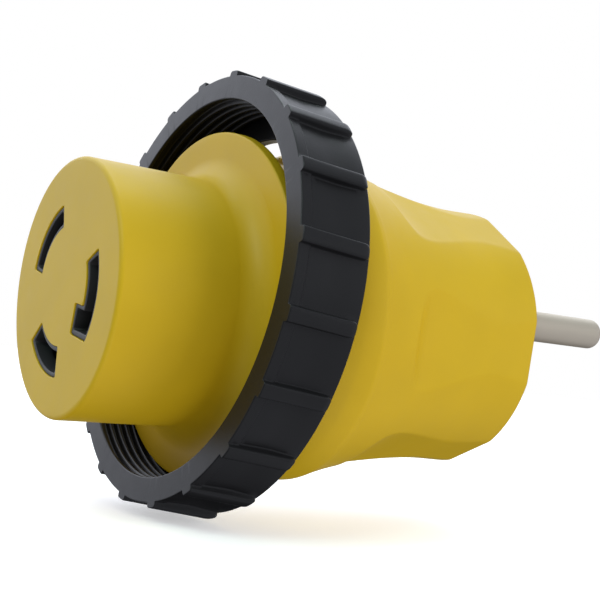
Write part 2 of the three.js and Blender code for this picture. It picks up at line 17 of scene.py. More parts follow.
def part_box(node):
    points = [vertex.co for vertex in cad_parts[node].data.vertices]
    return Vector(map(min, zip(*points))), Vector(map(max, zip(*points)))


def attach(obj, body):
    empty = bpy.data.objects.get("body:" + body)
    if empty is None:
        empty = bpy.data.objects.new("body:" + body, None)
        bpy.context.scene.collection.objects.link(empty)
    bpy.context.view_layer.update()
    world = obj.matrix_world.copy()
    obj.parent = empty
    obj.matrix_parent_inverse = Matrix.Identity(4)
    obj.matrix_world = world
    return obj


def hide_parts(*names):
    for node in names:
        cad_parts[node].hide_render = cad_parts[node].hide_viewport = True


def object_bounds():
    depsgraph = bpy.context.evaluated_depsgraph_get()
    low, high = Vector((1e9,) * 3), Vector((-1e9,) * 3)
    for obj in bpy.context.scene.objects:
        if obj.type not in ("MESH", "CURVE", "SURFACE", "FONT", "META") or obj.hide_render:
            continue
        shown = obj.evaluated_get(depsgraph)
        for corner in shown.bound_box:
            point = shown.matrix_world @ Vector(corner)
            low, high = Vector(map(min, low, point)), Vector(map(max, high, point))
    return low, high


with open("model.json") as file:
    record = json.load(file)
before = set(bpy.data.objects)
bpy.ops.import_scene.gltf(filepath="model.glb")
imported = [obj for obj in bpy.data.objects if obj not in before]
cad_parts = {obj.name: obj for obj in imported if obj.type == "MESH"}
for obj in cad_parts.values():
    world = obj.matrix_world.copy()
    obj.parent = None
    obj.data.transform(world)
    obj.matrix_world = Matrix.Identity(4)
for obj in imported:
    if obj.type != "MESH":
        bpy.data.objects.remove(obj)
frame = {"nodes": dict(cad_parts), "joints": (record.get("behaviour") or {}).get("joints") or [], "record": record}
cad_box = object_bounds()

MM = 0.001
AXIS_R = 0.02                    # stands for a point on the axis, where a small face closes it

# ------------------------------------------------------------------ sizes from the frame


def span(node):
    """A CAD node's lowest and highest corners in millimetres."""
    low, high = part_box(node)
    return low / MM, high / MM


BODY_HIGH = span("outer_body")[1]
MOULD_HIGH = span("inner_mould")[1]
PIN_LOW, PIN_HIGH = span("ground_pin")
CORE_LOW, CORE_HIGH = span("socket_core")
PLUG_CORE_LOW, PLUG_CORE_HIGH = span("plug_core")
RING_JOINT = frame["joints"][0]

BODY_END = BODY_HIGH.x
FLANGE_R = BODY_HIGH.z
GAP = 0.3                        # between two pieces that touch

# ------------------------------------------------------------------ outer body sizes

NOSE_R = 22.0
NOSE_EDGE = 0.8
NOSE_FILLET = 4.5
FLANGE_FRONT = 25.3
FLANGE_BACK = 27.6
FLANGE_EDGE = 0.35
NECK_R = 27.3
NECK_FILLET = 0.5
BELL_FRONT = 38.0
BELL_FRONT_R = 29.0
BELL_EDGE = 0.9
BELL_EDGE_END = 115              # degrees; the flare goes on from here
RIM_R = 25.8
RIM_EDGE = 0.6
FLARE = [(41.0, 30.0), (43.8, 30.6), (45.0, 30.5), (46.2, 30.1), (48.2, 29.5), (51.0, 28.75),
         (55.5, 27.75), (61.0, 26.8), (68.0, 25.95), (76.0, 25.55), (BODY_END - RIM_EDGE, RIM_R)]
FLARE_STEPS = 12
BODY_SIDES = 480

SCALLOPS = 6
SCALLOP_FIRST = 36.0
SCALLOP_START = 49.0
SCALLOP_RUN_IN = [(49.6, 34.6), (53.6, 28.5), (55.8, 26.6), (58.0, 25.75), (61.5, 25.3),
                  (67.0, 25.1)]
SCALLOP_STEPS = 8
CREASE_FRONT = 0.4               # how softly a flat meets the bell at its front end
CREASE_BACK = 0.12               # and along the rest of its edge
CREASE_CHANGE = (54.5, 60.0)

CAVITY_STEP = 30.0               # the cavity changes from the core's size to the mould's here
CAVITY_SIDES = 96

# ------------------------------------------------------------------ female face sizes

FACE_WALL = 1.6
HOT_SLOT = dict(r_in=10.5, r_out=14.4, start=104.0, end=167.0)
NEUTRAL_SLOT = dict(r_in=9.9, r_out=15.1, start=217.5, end=272.0)
GROUND_SLOT = dict(r_in=9.4, r_out=14.2, start=-38.5, end=25.0,
                   low=(4.9, -7.7), high=(5.8, -2.6), meets=-19.4)
SLOTS = [HOT_SLOT, NEUTRAL_SLOT, GROUND_SLOT]
SLOT_CORNER = 0.45
SLOT_LIP = 0.12

CORE_EDGE = 0.4
COLLAR_WALL = 0.75
COLLAR_PLAY = 0.05               # between a collar and the wall of its slot
COLLAR_RIM = 0.15
COLLAR_BACK = 3.0
CHAMBER_GROWTH = 0.25            # the contact chamber is this much larger than the slot

# ------------------------------------------------------------------ locking ring sizes

RING_WIDTH = 13.0
RING_FRONT_R = 38.2
RING_BACK_R = 38.45
RING_RISE = 6.0                  # where the panels start to rise towards the back edge
RING_BAND = 2.0
RING_STEP = 0.3
STEP_SOFTNESS = 0.15
RING_FRONT_EDGE = 0.18
RING_FRONT_BEVEL = 0.08
RING_FRONT_FACE = 1.6            # how far in from the band its front face stays flat
RING_EDGE = 0.4
BAND_ROWS = [0.5, 1.0, 1.5, 1.8, 1.85, 1.9, 1.95, 2.0, 2.05, 2.1, 2.15, 2.2, 2.5]
PANEL_ROWS = 16
PANEL_COLUMNS = 8

RIBS = 20
RIB_FRONT_R = 39.15
RIB_BACK_R = 39.7
RIB_WIDTH = 2.6
RIB_PHASE = 97.4
RIB_LENGTH = 12.65
RIB_NOSE = 1.8                   # the rounded stretch at a rib's back end
RIB_TIP = 0.3                    # the share of its width that is left at the very end
RIB_SECTION = [(0.0, 1.0), (0.4, 0.995), (0.68, 0.975), (0.8, 0.94), (0.89, 0.86), (0.95, 0.72),
               (0.98, 0.55), (1.0, 0.22), (1.05, 0.06), (1.14, 0.0)]
RIB_COLUMNS = [-across for across, _ in RIB_SECTION[:0:-1]] + [across for across, _ in RIB_SECTION]

MOUTH_LENGTH = 0.6
MOUTH_EDGE = 0.25
MOUTH_FADE = 0.4
THREAD_CREST_R = 33.95
THREAD_ROOT_R = 35.0
THREAD_PITCH = 1.65
THREAD_START = 1.4
THREAD_TURNS = 5.5
THREAD_FLANK = (0.1, 0.7)        # from the middle of the crest: where its flank starts and ends
THREAD_RUN_OUT = 1 / 3           # of a turn
THREAD_ROWS = 100
LIP_R = 29.8
LIP_FRONT = 11.0
LIP_EDGE = 0.3
BACK_FACE_RADII = [37.25, 34.55, 32.8]
LIP_FACE_RADII = [32.0, 34.0, THREAD_ROOT_R]

# ------------------------------------------------------------------ plug sizes

PIN_R = 3.0
PIN_AT = ((PIN_LOW.y + PIN_HIGH.y) / 2, (PIN_LOW.z + PIN_HIGH.z) / 2)
PIN_TIP = 1.5
PIN_END_R = 0.5                  # the middle of its end face
PIN_SIDES = 96
PIN_HOLE_SIDES = 48
BLADE_END = 105.0
BLADE_WIDTH = 8.0
BLADE_THICKNESS = 1.9
BLADE_CORNER = 0.25
BLADE_OFFSET = 8.0
BLADE_HALF_SPACING = 9.5
BLADE_SLANT = math.radians(45)
# before the end, off each side of the width, off each side of the thickness, corner
BLADE_TIP = [(2.0, 0.0, 0.0, 0.25), (1.2, 0.45, 0.05, 0.25), (0.4, 1.05, 0.2, 0.25),
             (0.0, 1.4, 0.4, 0.2)]
PLUG_LIP = 0.25
SHOULDER_LENGTH = 3.0
SHOULDER_STEP = 1.0
SHOULDER_EDGE = 0.2
SHOULDER_CORNER = 0.4
BARREL_R = 2.3
BARREL_BORE = 1.65
BARREL_LENGTH = 8.0
BARREL_FLOOR = 1.0
BARREL_EDGE = 0.15
BARREL_LEAD_IN = 0.1
BARREL_SIDES = 40

# ------------------------------------------------------------------ surface and stage values

MOTTLE_SCALE = 90.0
GLOSS_SCALE = 360.0
GLOSS_RANGE = 0.06

FLOOR_SIZE = 6.0
FLOOR_DROP = 0.0002
FLOOR_COLOUR = (0.9, 0.9, 0.9)
FLOOR_ROUGHNESS = 0.9
FLOOR_GLOW = 0.45

SKY_COLOUR = (0.87, 0.90, 1.0)
# towards, the cosines where the band starts and is full, strength
SKY_BANDS = [
    ((0.0, 0.0, 1.0), -0.2, 0.9, 0.55),
    ((-0.62, 0.78, 0.3), 0.3, 0.95, 0.85),
    ((0.35, 0.78, 0.52), 0.45, 0.95, 1.3),
    ((0.45, -0.75, -0.5), 0.1, 0.9, 0.55),
]
COOL = (0.74, 1.0, 0.88)
NEUTRAL = (1.0, 0.99, 0.96)
# name, place, size, power, colour, whether it shows in reflections
LAMPS = [
    ("key softbox", (-0.42, -0.28, 0.52), 0.3, 1.75, COOL, True),
    ("top softbox", (0.15, 0.1, 0.72), 0.3, 1.0, COOL, True),
    ("fill softbox", (0.5, -0.7, 0.15), 0.6, 3.9, NEUTRAL, False),
    ("table bounce", (-0.25, -0.3, -0.5), 0.8, 2.6, NEUTRAL, False),
]
LAMP_AIM = (0.04, 0.0, 0.0)

CAMERA_PLACE = (-0.0680, -0.17165, -0.00994)
CAMERA_AZIMUTH = math.radians(-33.91)
CAMERA_ELEVATION = math.radians(-3.64)
CAMERA_ROLL = math.radians(5.4)
CAMERA_LENS = 65.37
CAMERA_SENSOR = 36.0
CAMERA_CLIP = (0.01, 50.0)

# ------------------------------------------------------------------ mesh building


class Builder:
    """Collects points in millimetres and faces, and makes one smooth mesh of them."""

    def __init__(self):
        self.points = []
        self.faces = []

    def loop(self, points):
        first = len(self.points)
        self.points.extend(Vector(p) for p in points)
        return list(range(first, len(self.points)))

    def bridge(self, loops):
        for a, b in zip(loops, loops[1:]):
            for i in range(len(a)):
                j = (i + 1) % len(a)
                self.faces.append((a[i], a[j], b[j], b[i]))

    def fill(self, outer, holes=()):
        chains = [outer, *holes]
        order = [i for chain in chains for i in chain]
        outlines = [[self.points[i] for i in chain] for chain in chains]
        for triangle in tessellate_polygon(outlines):
            self.faces.append(tuple(order[k] for k in triangle))

    def wall(self, stations, points_at):
        """The wall of an opening, by (x, growth) stations; returns its first and last loops."""
        loops = [self.loop(points_at(x, grow)) for x, grow in stations]
        self.bridge(loops)
        return loops[0], loops[-1]

    def piece(self, name, sharp=40.0, matrix=None):
        mesh = bpy.data.meshes.new(name)
        points = [(matrix @ p if matrix else p) * MM for p in self.points]
        mesh.from_pydata(points, [], self.faces)
        bm = bmesh.new()
        bm.from_mesh(mesh)
        bmesh.ops.recalc_face_normals(bm, faces=bm.faces)
        bm.to_mesh(mesh)
        bm.free()
        mesh.shade_smooth()
        mesh.set_sharp_from_angle(angle=math.radians(sharp))
        piece = bpy.data.objects.new(name, mesh)
        bpy.context.scene.collection.objects.link(piece)
        weighted = piece.modifiers.new("weighted normals", "WEIGHTED_NORMAL")
        weighted.keep_sharp = True
        return piece


def round_point(x, r, angle):
    """A point at radius r round the X axis, at an angle in radians from up towards -Y."""
    return (x, -r * math.sin(angle), r * math.cos(angle))


def circle(x, r, count, centre=(0.0, 0.0)):
    step = 2 * math.pi / count
    points = (round_point(x, r, step * i) for i in range(count))
    return [(px, y + centre[0], z + centre[1]) for px, y, z in points]


def arc(centre, radius, start, end, steps):
    """Points of a round edge in the (x, r) plane, about a centre, in degrees."""
    angles = (math.radians(start + (end - start) * i / steps) for i in range(steps + 1))
    return [(centre[0] + radius * math.cos(a), centre[1] + radius * math.sin(a)) for a in angles]


def straight(start, end, steps):
    """Points between two ends, without the ends themselves."""
    return [tuple(a + (b - a) * i / steps for a, b in zip(start, end)) for i in range(1, steps)]


def eased(start, end, steps):
    """Places from start to end, closer together towards the end, without the start itself."""
    shares = (math.sin(math.radians(90 * i / steps)) for i in range(1, steps + 1))
    return [start + (end - start) * share for share in shares]


def smooth_curve(points, steps):
    """A uniform Catmull-Rom curve through the points."""
    curve = []
    padded = [points[0], *points, points[-1]]
    for p0, p1, p2, p3 in zip(padded, padded[1:], padded[2:], padded[3:]):
        for i in range(steps):
            t = i / steps
            curve.append(tuple(
                0.5 * (2 * b + (c - a) * t + (2 * a - 5 * b + 4 * c - d) * t * t
                       + (3 * b - a - 3 * c + d) * t * t * t)
                for a, b, c, d in zip(p0, p1, p2, p3)))
    return [*curve, points[-1]]


def height_at(curve, x):
    """The curve's second coordinate at x, by straight lines between its points."""
    if x <= curve[0][0]:
        return curve[0][1]
    for (x0, y0), (x1, y1) in zip(curve, curve[1:]):
        if x <= x1:
            return y0 + (y1 - y0) * (x - x0) / (x1 - x0)
    return curve[-1][1]


def soft_min(a, b, width):
    """The smaller of two values, rounded off where they come within a width of each other."""
    blend = max(width - abs(a - b), 0.0) / width
    return min(a, b) - blend * blend * width / 4


def smooth_step(low, high, value):
    t = min(max((value - low) / (high - low), 0.0), 1.0)
    return t * t * (3 - 2 * t)


def turned(builder, profile, count, centre=(0.0, 0.0)):
    """A surface of revolution along X; a profile end on the axis is closed by one small face."""
    loops = [builder.loop(circle(x, max(r, AXIS_R), count, centre)) for x, r in profile]
    builder.bridge(loops)
    for loop, (_, r) in ((loops[0], profile[0]), (loops[-1], profile[-1])):
        if r == 0:
            builder.fill(loop)
    return loops


def lip(size, steps):
    """(depth, growth) stations of a rounded lip round an opening, from the face inwards."""
    angles = [math.radians(90 * i / steps) for i in range(steps + 1)]
    return [(size * (1 - math.cos(a)), size * (1 - math.sin(a))) for a in angles]


# ------------------------------------------------------------------ outlines


def trimmed(edge, cut):
    """An edge's points with a stretch of the given length cut off both ends."""
    for _ in range(2):
        left = cut
        while math.dist(edge[0], edge[1]) < left:
            left -= math.dist(edge[0], edge[1])
            edge = edge[1:]
        share = left / math.dist(edge[0], edge[1])
        start = tuple(a + (b - a) * share for a, b in zip(edge[0], edge[1]))
        edge = [start, *edge[1:]][::-1]
    return edge


def rounded_outline(edges, cut, steps=5):
    """A closed outline from edges that meet in corners, with each corner rounded."""
    outline = []
    short = [trimmed(edge, cut) for edge in edges]
    for i, edge in enumerate(edges):
        outline.extend(short[i])
        corner, after = edge[-1], short[(i + 1) % len(edges)][0]
        before = short[i][-1]
        for k in range(1, steps):
            t = k / steps
            outline.append(tuple(
                (1 - t) ** 2 * a + 2 * t * (1 - t) * b + t * t * c
                for a, b, c in zip(before, corner, after)))
    return outline


def face_arc(r, start, end, steps):
    """Points of an arc about the centre of the female face, in degrees."""
    angles = (math.radians(start + (end - start) * i / steps) for i in range(steps + 1))
    return [(r * math.cos(a), r * math.sin(a)) for a in angles]


def slot_points(slot, x, grow):
    """The outline of a curved blade slot at x, made larger all round by grow."""
    turn = math.degrees(grow / slot["r_out"])
    start, end = slot["start"] - turn, slot["end"] + turn
    outer = face_arc(slot["r_out"] + grow, start, end, 20)
    if "meets" in slot:
        low = (slot["low"][0] - grow, slot["low"][1] - grow)
        high = (slot["high"][0] - grow, slot["high"][1] + grow)
        inner = face_arc(slot["r_in"] - grow, end, slot["meets"] + turn, 12)
        foot = [[inner[-1], high], [high, low], [low, outer[0]]]
    else:
        inner = face_arc(slot["r_in"] - grow, end, start, 15)
        foot = [[inner[-1], outer[0]]]
    edges = [outer, [outer[-1], inner[0]], inner, *foot]
    return [(x, -right, up) for right, up in rounded_outline(edges, SLOT_CORNER)]


def blade_centre(sign):
    """Where a flat blade stands, in (y, z), opposite the ground pin."""
    away = Vector(PIN_AT).normalized()
    across = Vector((-away.y, away.x))
    return -BLADE_OFFSET * away + sign * BLADE_HALF_SPACING * across


def blade_points(sign, x, half_width, half_thickness, corner):
    """A blade's rounded section at x."""
    corners = [(half_width * a, half_thickness * b)
               for a, b in ((-1, -1), (1, -1), (1, 1), (-1, 1))]
    edges = [[a, b] for a, b in zip(corners, corners[1:] + corners[:1])]
    turn = Matrix.Rotation(math.atan2(PIN_AT[1], PIN_AT[0]) + sign * BLADE_SLANT, 2)
    flat = (turn @ Vector(p) + blade_centre(sign) for p in rounded_outline(edges, corner))
    return [(x, y, z) for y, z in flat]


# ------------------------------------------------------------------ outer body


def body_profile():
    flange_top = FLANGE_R - FLANGE_EDGE
    fillet_start = FLANGE_FRONT - NOSE_FILLET
    bell_corner = (BELL_FRONT + BELL_EDGE, BELL_FRONT_R - BELL_EDGE)
    neck_low = NECK_R + NECK_FILLET
    bell_edge = arc(bell_corner, BELL_EDGE, 180, BELL_EDGE_END, 8)
    return [
        *arc((NOSE_EDGE, NOSE_R - NOSE_EDGE), NOSE_EDGE, 180, 90, 8),
        *straight((NOSE_EDGE, NOSE_R), (fillet_start, NOSE_R), 10),
        *arc((fillet_start, NOSE_R + NOSE_FILLET), NOSE_FILLET, -90, 0, 18),
        *straight((FLANGE_FRONT, NOSE_R + NOSE_FILLET), (FLANGE_FRONT, flange_top), 4),
        *arc((FLANGE_FRONT + FLANGE_EDGE, flange_top), FLANGE_EDGE, 180, 90, 4),
        *arc((FLANGE_BACK - FLANGE_EDGE, flange_top), FLANGE_EDGE, 90, 0, 4),
        *arc((FLANGE_BACK + NECK_FILLET, neck_low), NECK_FILLET, 180, 270, 4),
        *arc((BELL_FRONT - NECK_FILLET, neck_low), NECK_FILLET, 270, 360, 4),
        *bell_edge[:-1],
        *smooth_curve([bell_edge[-1], *FLARE], FLARE_STEPS),
    ]


def scalloped(profile):
    """Rows of points: the profile turned about X, with the finger flats pressed into it."""
    floor = smooth_curve(SCALLOP_RUN_IN, SCALLOP_STEPS)
    sector = 2 * math.pi / SCALLOPS
    first = math.radians(SCALLOP_FIRST)
    rows = []
    for x, r in profile:
        depth = height_at(floor, x)
        softness = CREASE_FRONT + (CREASE_BACK - CREASE_FRONT) * smooth_step(*CREASE_CHANGE, x)
        row = []
        for i in range(BODY_SIDES):
            angle = 2 * math.pi * i / BODY_SIDES
            from_middle = (angle - first + sector / 2) % sector - sector / 2
            pressed = soft_min(r, depth / math.cos(from_middle), softness)
            row.append((x, pressed if x > SCALLOP_START else r, angle))
        rows.append(row)
    return rows


def make_body():
    build = Builder()
    rows = scalloped(body_profile())
    rim = rows[-1]
    for i in range(1, 7):
        a = math.radians(90 * i / 6)
        x = BODY_END - RIM_EDGE + RIM_EDGE * math.sin(a)
        rows.append([(x, r - RIM_EDGE * (1 - math.cos(a)), angle) for _, r, angle in rim])
    loops = [build.loop([round_point(*p) for p in row]) for row in rows]
    build.bridge(loops)

    # the female face, with the lips and walls of its slots
    stations = [*lip(SLOT_LIP, 4), (FACE_WALL, 0.0)]
    slots = [build.wall(stations, lambda x, grow, slot=slot: slot_points(slot, x, grow))
             for slot in SLOTS]
    build.fill(loops[0], [first for first, _ in slots])

    # the cavity that holds the cores and the inner mould
    core_r, mould_r, plug_r = CORE_HIGH.z + GAP, MOULD_HIGH.z + GAP, PLUG_CORE_HIGH.z + GAP
    step_x, plug_x, back_x = CAVITY_STEP - GAP, PLUG_CORE_LOW.x - GAP, PLUG_CORE_HIGH.x + GAP
    cavity = turned(build, [
        (FACE_WALL, core_r), (step_x, core_r), (step_x, mould_r),
        (plug_x, mould_r), (plug_x, plug_r), (back_x, plug_r),
    ], CAVITY_SIDES)
    build.fill(cavity[0], [last for _, last in slots])

    # the end face with the openings of the two blades and the pin
    def blade_hole(sign):
        half_width, half_thickness = BLADE_WIDTH / 2 + GAP, BLADE_THICKNESS / 2 + GAP
        return lambda x, grow: blade_points(
            sign, x, half_width + grow, half_thickness + grow, BLADE_CORNER)

    def pin_hole(x, grow):
        return circle(x, PIN_R + GAP + grow, PIN_HOLE_SIDES, PIN_AT)

    stations = [*((BODY_END - depth, grow) for depth, grow in lip(PLUG_LIP, 3)), (back_x, 0.0)]
    holes = [build.wall(stations, hole) for hole in (blade_hole(-1), blade_hole(1), pin_hole)]
    build.fill(loops[-1], [first for first, _ in holes])
    build.fill(cavity[-1], [last for _, last in holes])
    return build.piece("body_shell")


# ------------------------------------------------------------------ locking ring


def rib_end(x):
    """(share of the full width, share of the full height) of a rib at x along the ring."""
    past = min(max((x - RIB_LENGTH) / RIB_NOSE + 1, 0.0), 1.0)
    return max((1 - past ** 4) ** 0.5, RIB_TIP), (1 - past ** 2.2) ** 0.5


def ring_columns(x, r):
    """Pairs of (angle, place across a rib or None) for one row of the ring."""
    pitch = 2 * math.pi / RIBS
    half = RIB_WIDTH / 2 * rib_end(x)[0] / r
    columns = []
    for k in range(RIBS):
        middle = math.radians(RIB_PHASE) + pitch * k
        columns.extend((middle + half * across, across) for across in RIB_COLUMNS)
        first = middle + half * RIB_COLUMNS[-1]
        last = middle + pitch - half * RIB_COLUMNS[-1]
        for i in range(1, PANEL_COLUMNS + 1):
            columns.append((first + (last - first) * i / (PANEL_COLUMNS + 1), None))
    return columns


def ring_outside(x, inset):
    """One row of the outside: band, step, panels and ribs, drawn in by inset at the edges."""
    step = RING_STEP * smooth_step(RING_BAND - STEP_SOFTNESS, RING_BAND + STEP_SOFTNESS, x)
    rise = (RING_BACK_R - RING_FRONT_R + RING_STEP) * smooth_step(RING_RISE, RING_WIDTH, x)
    base = RING_FRONT_R - step + rise
    crest = RIB_FRONT_R + (RIB_BACK_R - RIB_FRONT_R) * x / RING_WIDTH
    tall = (crest - base) * rib_end(x)[1]
    row = []
    for angle, across in ring_columns(x, base):
        lift = 0.0 if across is None else tall * height_at(RIB_SECTION, abs(across))
        row.append((x, base + lift - inset, angle))
    return row


def thread_depth(x, angle):
    """How far the thread stands in from its root, from 0 to 1."""
    turn = angle / (2 * math.pi)
    along = (x - THREAD_START) / THREAD_PITCH
    total = turn + round(along - turn)
    distance = abs(along - total) * THREAD_PITCH
    rise = min(max(min(total, THREAD_TURNS - total) / THREAD_RUN_OUT, 0.0), 1.0)
    return rise * (1 - smooth_step(*THREAD_FLANK, distance))


def make_ring():
    build = Builder()
    plain = [angle for angle, _ in ring_columns(0.0, RING_FRONT_R)]

    def plain_row(x, r):
        return [(x, r, angle) for angle in plain]

    # the front edge, the band, the panels, the rounded ends of the ribs and the back edge
    rows = [ring_outside(0.0, RING_FRONT_EDGE + RING_FRONT_BEVEL)]
    rows.extend(ring_outside(x, inset) for x, inset in lip(RING_FRONT_EDGE, 5))
    rows.extend(ring_outside(x, 0.0) for x in BAND_ROWS)
    panel_start, nose_start = BAND_ROWS[-1], RIB_LENGTH - RIB_NOSE
    for i in range(1, PANEL_ROWS + 1):
        rows.append(ring_outside(panel_start + (nose_start - panel_start) * i / PANEL_ROWS, 0.0))
    for x in [*eased(nose_start, RIB_LENGTH, 16), *eased(RIB_LENGTH, RING_WIDTH, 6)]:
        over = min(max((x - RING_WIDTH) / RING_EDGE + 1, 0.0), 1.0)
        rows.append(ring_outside(x, RING_EDGE * (1 - math.sqrt(1 - over * over))))

    # the back face and the lip that catches the flange
    rows.extend(plain_row(RING_WIDTH, r) for r in BACK_FACE_RADII)
    rows.extend(plain_row(x, r) for x, r in [
        *arc((RING_WIDTH - LIP_EDGE, LIP_R + LIP_EDGE), LIP_EDGE, 0, -90, 4),
        *arc((LIP_FRONT + LIP_EDGE, LIP_R + LIP_EDGE), LIP_EDGE, -90, -180, 4)])
    rows.extend(plain_row(LIP_FRONT, r) for r in LIP_FACE_RADII)

    # the thread, from the back forwards, the mouth and the front face
    depth = THREAD_ROOT_R - THREAD_CREST_R
    for i in range(1, THREAD_ROWS + 1):
        x = LIP_FRONT + (MOUTH_LENGTH - LIP_FRONT) * i / THREAD_ROWS
        mouth = 1 - smooth_step(MOUTH_LENGTH, MOUTH_LENGTH + MOUTH_FADE, x)
        rows.append([
            (x, THREAD_ROOT_R - depth * max(thread_depth(x, a), mouth), a) for a in plain])
    rows.extend(plain_row(x, r) for x, r in arc(
        (MOUTH_EDGE, THREAD_CREST_R + MOUTH_EDGE), MOUTH_EDGE, -90, -180, 4))
    rows.append(plain_row(0.0, RING_FRONT_R - RING_FRONT_FACE))
    loops = [build.loop([round_point(*p) for p in row]) for row in rows]
    build.bridge([*loops, loops[0]])

    axis = Vector(RING_JOINT["axis"])
    turn = Vector((1, 0, 0)).rotation_difference(axis).to_matrix().to_4x4()
    place = Matrix.Translation(Vector(RING_JOINT["pos_m"]) / MM) @ turn
    return build.piece("threaded_ring", sharp=50.0, matrix=place)


# ------------------------------------------------------------------ cores and plug metal


def make_socket_core():
    """The core, with a raised collar that lines each slot of the face."""
    build = Builder()
    disc_front, back, r = FACE_WALL + GAP, CORE_HIGH.x, CORE_HIGH.z
    corner = (disc_front + CORE_EDGE, r - CORE_EDGE)
    disc = turned(build, [*arc(corner, CORE_EDGE, 180, 90, 3), (back - CORE_EDGE, r),
                          (back, r - CORE_EDGE)], CAVITY_SIDES)
    rim_x, mouth = CORE_LOW.x + COLLAR_RIM, -COLLAR_PLAY - COLLAR_WALL
    half_wall = COLLAR_WALL / 2
    stations = [(disc_front, -COLLAR_PLAY), (rim_x, -COLLAR_PLAY)]
    for i in range(1, 9):
        a = math.radians(180 * i / 8)
        stations.append((rim_x - COLLAR_RIM * math.sin(a), mouth + half_wall * (1 + math.cos(a))))
    stations.extend([(COLLAR_BACK, mouth), (COLLAR_BACK, CHAMBER_GROWTH), (back, CHAMBER_GROWTH)])
    collars = [build.wall(stations, lambda x, grow, slot=slot: slot_points(slot, x, grow))
               for slot in SLOTS]
    build.fill(disc[0], [first for first, _ in collars])
    build.fill(disc[-1], [last for _, last in collars])
    return build.piece("socket_insulator")


def barrel_profile():
    """The crimp barrel at the front of the pin and of each blade, from its floor outwards."""
    front = PLUG_CORE_LOW.x - BARREL_LENGTH
    floor = PLUG_CORE_LOW.x - BARREL_FLOOR
    return [(floor, 0), (floor, BARREL_BORE), (front + BARREL_EDGE, BARREL_BORE),
            (front, BARREL_BORE + BARREL_LEAD_IN), (front, BARREL_R - BARREL_EDGE),
            (front + BARREL_EDGE, BARREL_R)]


def make_pin():
    build = Builder()
    start, end = PLUG_CORE_LOW.x, PIN_HIGH.x
    shoulder, shoulder_r = start + SHOULDER_LENGTH, PIN_R + SHOULDER_STEP
    turned(build, [
        *barrel_profile(),
        (start, BARREL_R), (start, shoulder_r - SHOULDER_EDGE),
        (start + SHOULDER_EDGE, shoulder_r), (shoulder - SHOULDER_EDGE, shoulder_r),
        (shoulder, shoulder_r - SHOULDER_EDGE), (shoulder, PIN_R),
        *straight((shoulder, PIN_R), (end - PIN_TIP, PIN_R), 12),
        *arc((end - PIN_TIP, PIN_R - PIN_TIP), PIN_TIP, 90, 0, 12),
        (end, PIN_END_R), (end, 0),
    ], PIN_SIDES, PIN_AT)
    return build.piece("earth_pin")


def make_blade(name, sign):
    build = Builder()
    start, shoulder = PLUG_CORE_LOW.x, PLUG_CORE_LOW.x + SHOULDER_LENGTH
    wide, thick = BLADE_WIDTH / 2, BLADE_THICKNESS / 2
    shoulder_wide = wide + SHOULDER_STEP
    stations = [
        (start, shoulder_wide - SHOULDER_EDGE, BARREL_R - SHOULDER_EDGE, SHOULDER_CORNER),
        (start + SHOULDER_EDGE, shoulder_wide, BARREL_R, SHOULDER_CORNER),
        (shoulder - SHOULDER_EDGE, shoulder_wide, BARREL_R, SHOULDER_CORNER),
        (shoulder, shoulder_wide - SHOULDER_EDGE, BARREL_R - SHOULDER_EDGE, SHOULDER_CORNER),
        (shoulder, wide, thick, BLADE_CORNER),
    ]
    stations.extend((BLADE_END - before, wide - off_width, thick - off_thickness, corner)
                    for before, off_width, off_thickness, corner in BLADE_TIP)
    loops = [build.loop(blade_points(sign, *station)) for station in stations]
    build.bridge(loops)
    build.fill(loops[-1])
    barrel = turned(build, [*barrel_profile(), (start, BARREL_R)], BARREL_SIDES, blade_centre(sign))
    build.fill(loops[0], [barrel[-1]])
    return build.piece(name)


# ------------------------------------------------------------------ materials


def procedural(name, colour, roughness, metallic=0.0, specular=0.5, mottle=0.06,
               grain=0.00001, grain_scale=2600.0):
    """A moulded or rolled surface: slight colour drift, uneven gloss and fine grain."""
    material = bpy.data.materials.new(name)
    material.use_nodes = True
    tree = material.node_tree
    shader = tree.nodes["Principled BSDF"]
    shader.inputs["Metallic"].default_value = metallic
    shader.inputs["Specular IOR Level"].default_value = specular

    place = tree.nodes.new("ShaderNodeTexCoord")

    def noise(scale, detail):
        node = tree.nodes.new("ShaderNodeTexNoise")
        node.inputs["Scale"].default_value = scale
        node.inputs["Detail"].default_value = detail
        tree.links.new(place.outputs["Object"], node.inputs["Vector"])
        return node.outputs["Fac"]

    drift = tree.nodes.new("ShaderNodeValToRGB")
    dark, light = drift.color_ramp.elements
    dark.position, light.position = 0.3, 0.7
    dark.color = [c * (1 - mottle) for c in colour] + [1]
    light.color = [min(c * (1 + mottle), 1) for c in colour] + [1]
    tree.links.new(noise(MOTTLE_SCALE, 4), drift.inputs["Fac"])
    tree.links.new(drift.outputs["Color"], shader.inputs["Base Color"])

    gloss = tree.nodes.new("ShaderNodeMapRange")
    gloss.inputs["To Min"].default_value = roughness - GLOSS_RANGE
    gloss.inputs["To Max"].default_value = roughness + GLOSS_RANGE
    tree.links.new(noise(GLOSS_SCALE, 6), gloss.inputs["Value"])
    tree.links.new(gloss.outputs["Result"], shader.inputs["Roughness"])

    bump = tree.nodes.new("ShaderNodeBump")
    bump.inputs["Strength"].default_value = 1.0
    bump.inputs["Distance"].default_value = grain
    tree.links.new(noise(grain_scale, 3), bump.inputs["Height"])
    tree.links.new(bump.outputs["Normal"], shader.inputs["Normal"])
    return material


